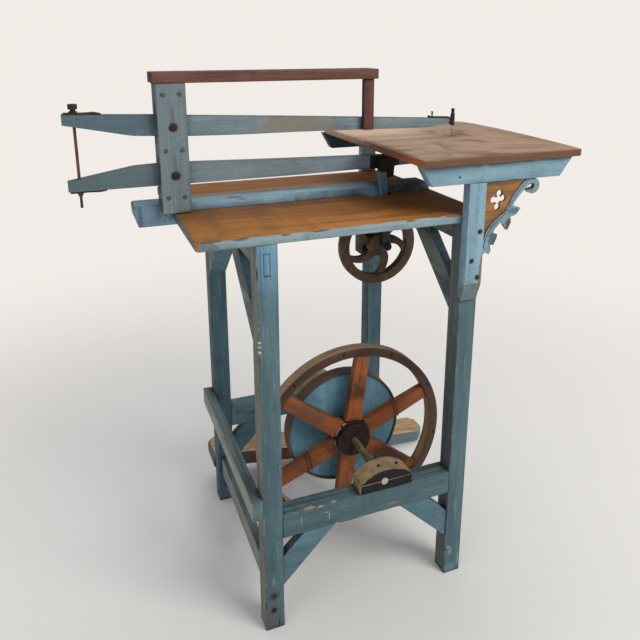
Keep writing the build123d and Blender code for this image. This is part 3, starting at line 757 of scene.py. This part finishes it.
def make_tension_rod():
    """A rod threaded at both ends, with a cone nut near its foot."""
    core = 0.0024
    cone = [(0.0034, 0.9772), (0.0066, 0.9842), (0.003, 0.9842), (0.003, 1.149)]
    profile = [(0, 0.953), (core, 0.953), *thread(0.9545, 0.9765), *cone, *thread(1.1505, 1.163), (core, 1.165),
               (0, 1.165)]
    node_piece("tension_rod", solid_of(profile, at(-297, 253.5, 0), 20, "Z"), rod_iron)


def make_blade():
    """A thin strip with teeth along its right edge."""
    lo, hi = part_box("blade")
    teeth, depth = 52, 0.0006
    pitch = (hi[2] - lo[2]) / teeth
    line = [(lo[0], hi[2]), (lo[0], lo[2])]
    for i in range(teeth):
        z = lo[2] + i * pitch
        line += [(hi[0] - depth, z), (hi[0], z + pitch * 0.75)]
    line.append((hi[0], hi[2]))
    bm = bmesh.new()
    slab(bm, *([Vector((x, y, z)) for x, z in line] for y in (lo[1], hi[1])))
    node_piece("blade", bm, blade_steel)


def make_bracket_beads():
    """The raised line carved along the edging, beside the panel."""
    for points in ([(607, 996), (582, 973), (566, 950), (557, 931)],
                   [(553, 926), (531, 911), (512, 890), (503, 866), (500, 850)]):
        wire("edging_bead", [at(x, -17, z) for x, z in points], 0.0013, "frame", edging_blue)


def make_leg_marks():
    """The tenon end let into the front left leg, small fixings, and the split at that leg's foot."""
    bm = bmesh.new()
    bar(bm, at(15.2, -0.25, 849), at(27, 0.4, 892), 0.0006)
    piece("tenon_end", bm, "frame", leg_front_left)
    bm = bmesh.new()
    for x0, x1, z0, z1 in ((14.2, 15.0, 846, 893), (27.2, 28.0, 846, 893), (14.2, 28, 846, 848),
                           (14.2, 28, 892.3, 893)):
        bar(bm, at(x0, -0.12, z0), at(x1, 0.3, z1))
    piece("tenon_gap", bm, "frame", near_black)
    bm = bmesh.new()
    for place, r, height in (((20, 0, 90), 0.0062, 0.0016), ((19, 0, 52), 0.0062, 0.0012),
                             ((23.5, 468, 50), 0.006, 0.0012), ((428.5, -23, 1015.5), 0.0026, 0.0006)):
        cup(bm, at(*place), r, height, "Y")
    piece("fixings", bm, "frame", dark_iron)
    bm = bmesh.new()
    corners = [(28.8, 0.8), (30.6, 0.8), (31.8, 14), (32.6, 34), (30.0, 16)]
    slab(bm, *([at(x, y, z) for x, z in corners] for y in (-0.15, 0.3)))
    piece("foot_split", bm, "frame", near_black)


make_plain_pieces()
make_shelves()
make_table()
make_bearings()
make_flywheel_details()
make_treadle()
make_pitman()
make_tension_rod()
make_blade()
make_bracket_beads()
make_leg_marks()


# ---------------------------------------------------------------- floor, light, camera
BACKDROP, BACKDROP_GLOW = rgb("EBE6E1"), 1.06
FLOOR_RADIUS, DOME_RADIUS = 9.0, 8.9


def plain_mesh(name, bm, mat):
    me = bpy.data.meshes.new(name)
    bm.to_mesh(me)
    bm.free()
    me.materials.append(mat)
    o = bpy.data.objects.new(name, me)
    scene.collection.objects.link(o)
    return o


def make_stage():
    """A pale floor that fades into a pale backdrop all round."""
    m = Net("floor_pale")
    m.finish(rgb("EFEDEA"), 0.8)
    glow = m.add("ShaderNodeEmission")
    glow.inputs[0].default_value, glow.inputs[1].default_value = BACKDROP, BACKDROP_GLOW
    blend = m.add("ShaderNodeMixShader")
    m.link(m.step(m.distance(m.pos), 0.1, 2.6), blend.inputs[0])
    m.link(m.bsdf.outputs[0], blend.inputs[1])
    m.link(glow.outputs[0], blend.inputs[2])
    m.link(blend.outputs[0], m.out.inputs[0])
    bm = bmesh.new()
    bmesh.ops.create_circle(bm, cap_ends=True, segments=64, radius=FLOOR_RADIUS)
    floor = plain_mesh("floor", bm, m.mat)
    m = Net("backdrop_pale")
    m.bsdf.inputs["Emission Color"].default_value = BACKDROP
    m.bsdf.inputs["Emission Strength"].default_value = BACKDROP_GLOW
    bm = bmesh.new()
    bmesh.ops.create_uvsphere(bm, u_segments=48, v_segments=24, radius=DOME_RADIUS)
    dome = plain_mesh("backdrop", bm, m.finish(rgb("000000"), 1.0, specular=0.0))
    dome.visible_diffuse = dome.visible_glossy = dome.visible_shadow = dome.visible_transmission = False
    world = bpy.data.worlds.new("studio")
    scene.world = world
    world.use_nodes = True
    sky = world.node_tree.nodes["Background"]
    sky.inputs[0].default_value, sky.inputs[1].default_value = (0.95, 0.97, 1.0, 1), 0.34


def aim(o, place, ahead):
    """Puts a light or a camera at a place, looking ahead."""
    scene.collection.objects.link(o)
    o.location = place
    o.rotation_mode = "QUATERNION"
    o.rotation_quaternion = ahead.to_track_quat("-Z", "Y")


def area(name, place, target, size, power, colour=(1, 1, 1)):
    data = bpy.data.lights.new(name, "AREA")
    data.size, data.energy, data.color = size, power, colour
    o = bpy.data.objects.new(name, data)
    o.visible_camera = False
    aim(o, place, Vector(target) - Vector(place))


def make_camera():
    """The photo's place and angle of view."""
    data = bpy.data.cameras.new("camera")
    data.lens, data.sensor_width = 36.93, 36.0
    data.shift_x, data.shift_y = -0.005, -0.156
    data.clip_start, data.clip_end = 0.05, 60
    yaw, pitch = math.radians(21.33), math.radians(15.3)
    ahead = Vector((math.sin(yaw) * math.cos(pitch), math.cos(yaw) * math.cos(pitch), -math.sin(pitch)))
    scene.camera = bpy.data.objects.new("camera", data)
    aim(scene.camera, (-0.5375, -1.4345, 1.2855), ahead)


make_stage()
area("key", (1.7, -2.7, 2.9), (0, 0, 0.6), 1.8, 90, (1.0, 0.975, 0.94))
area("fill", (-2.8, -2.0, 2.2), (0, 0, 0.7), 2.6, 18, (0.94, 0.97, 1.0))
area("top", (0.2, 1.2, 3.6), (0, 0, 0.8), 2.4, 30)
make_camera()
scene.view_settings.view_transform = "Standard"
